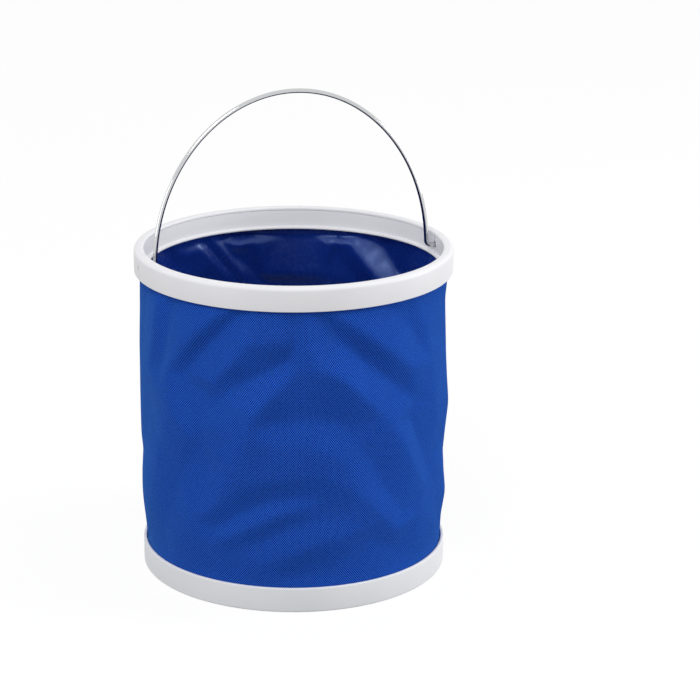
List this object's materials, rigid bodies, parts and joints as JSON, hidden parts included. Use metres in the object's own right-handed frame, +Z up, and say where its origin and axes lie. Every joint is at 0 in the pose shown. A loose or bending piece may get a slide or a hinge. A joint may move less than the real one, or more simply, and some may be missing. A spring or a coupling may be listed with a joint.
{
  "type": "collapsible camp bucket",
  "caption": "Folding water bucket: coated cloth wall clamped between a twisting plastic rim and a plastic base, with a swinging steel wire bail.",
  "frame": {"origin": "centre of the bucket's foot, on the surface it stands on", "axes": "+Z up the bucket's axis, +X along the bail's pivot axis towards the joint in the clamp hoop, -Y to the front"},
  "size_m": [0.24, 0.24, 0.3683],
  "materials": {
    "rim_plastic": "satin white moulded plastic",
    "base_plastic": "satin white moulded plastic",
    "coated_cloth": "blue plain-weave cloth outside, glossy dark blue coating inside",
    "hem_cord": "twisted cord sewn in a hem",
    "bail_steel": "bright plated steel wire"
  },
  "bodies": {
    "base": {"base_outer_ring": "base_plastic", "base_dish": "base_plastic", "foot_hem_cord": "hem_cord", "fabric_wall": "coated_cloth"},
    "wall_top": {"top_hem_cord": "hem_cord"},
    "rim": {"rim_outer_ring": "rim_plastic", "rim_clamp_hoop": "rim_plastic"},
    "bail": {"bail_wire": "bail_steel"}
  },
  "joints": [
    {"name": "collapse", "type": "slide", "parent": "base", "child": "wall_top", "axis": [0, 0, -1], "range_m": [0, 0.2], "deforming": ["fabric_wall"]},
    {"name": "rim_twist", "type": "hinge", "parent": "wall_top", "child": "rim", "pos_m": [0, 0, 0.232], "axis": [0, 0, 1], "range_deg": [0, 104]},
    {"name": "bail_swing", "type": "hinge", "parent": "rim", "child": "bail", "pos_m": [0, 0, 0.241], "axis": [1, 0, 0], "range_deg": [-80.5, 80.5]}
  ],
  "couplings": [
    {"joint": "rim_twist", "follows": "collapse", "rad_per_m": 9}
  ]
}
